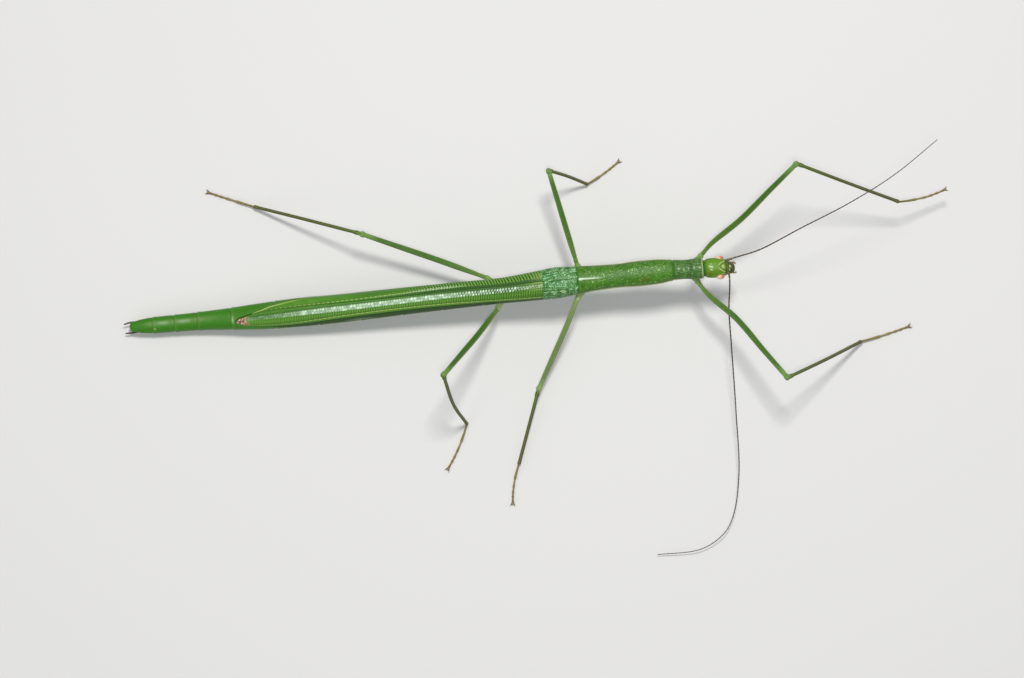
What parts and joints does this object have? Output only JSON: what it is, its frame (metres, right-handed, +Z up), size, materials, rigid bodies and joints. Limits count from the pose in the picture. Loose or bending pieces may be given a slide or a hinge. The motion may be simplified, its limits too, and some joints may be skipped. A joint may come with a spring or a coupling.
{
  "type": "stick insect model",
  "caption": "Life-size still model of a winged green stick insect walking on a floor, wings closed, one front foot raised.",
  "frame": {"origin": "on the floor, under the middle of the box round the whole insect", "axes": "+X towards the head along the body, +Y to the insect's left, +Z up"},
  "size_m": [0.1226, 0.0602, 0.0207],
  "materials": {
    "body_green": "smooth waxy cuticle, satin",
    "wing_green": "leathery veined wing, satin",
    "tegmen_green": "netted fore wing, satin",
    "leg_green": "ridged cuticle, satin",
    "shin_olive": "ridged cuticle, satin",
    "foot_yellow": "finely haired cuticle, dull",
    "claw_brown": "horny, satin",
    "antenna_brown": "finely haired cuticle, dull",
    "mouth_olive": "smooth cuticle, satin",
    "eye_pink": "glossy compound eye"
  },
  "bodies": {
    "root": {"abdomen_tip": "body_green", "abdomen_rear": "body_green", "abdomen_middle": "body_green", "abdomen_front": "body_green", "metathorax": "body_green", "mesothorax": "body_green", "prothorax": "body_green", "operculum": "body_green", "head": "body_green", "mouthparts": "mouth_olive", "hindwing_left": "wing_green", "forewing_left": "tegmen_green", "eye_left": "eye_pink", "antenna_left_base": "antenna_brown", "antenna_left_middle": "antenna_brown", "antenna_left_tip": "antenna_brown", "cercus_left": "antenna_brown", "hindwing_right": "wing_green", "forewing_right": "tegmen_green", "eye_right": "eye_pink", "antenna_right_base": "antenna_brown", "antenna_right_middle": "antenna_brown", "antenna_right_tip": "antenna_brown", "cercus_right": "antenna_brown", "coxa_fore_left": "leg_green", "femur_fore_left": "leg_green", "tibia_fore_left": "shin_olive", "tarsus_fore_left": "foot_yellow", "claws_fore_left": "claw_brown", "coxa_fore_right": "leg_green", "femur_fore_right": "leg_green", "tibia_fore_right": "shin_olive", "tarsus_fore_right": "foot_yellow", "claws_fore_right": "claw_brown", "coxa_middle_left": "leg_green", "femur_middle_left": "leg_green", "tibia_middle_left": "shin_olive", "tarsus_middle_left": "foot_yellow", "claws_middle_left": "claw_brown", "coxa_middle_right": "leg_green", "femur_middle_right": "leg_green", "tibia_middle_right": "shin_olive", "tarsus_middle_right": "foot_yellow", "claws_middle_right": "claw_brown", "coxa_hind_left": "leg_green", "femur_hind_left": "leg_green", "tibia_hind_left": "shin_olive", "tarsus_hind_left": "foot_yellow", "claws_hind_left": "claw_brown", "coxa_hind_right": "leg_green", "femur_hind_right": "leg_green", "tibia_hind_right": "shin_olive", "tarsus_hind_right": "foot_yellow", "claws_hind_right": "claw_brown"}
  },
  "joints": []
}
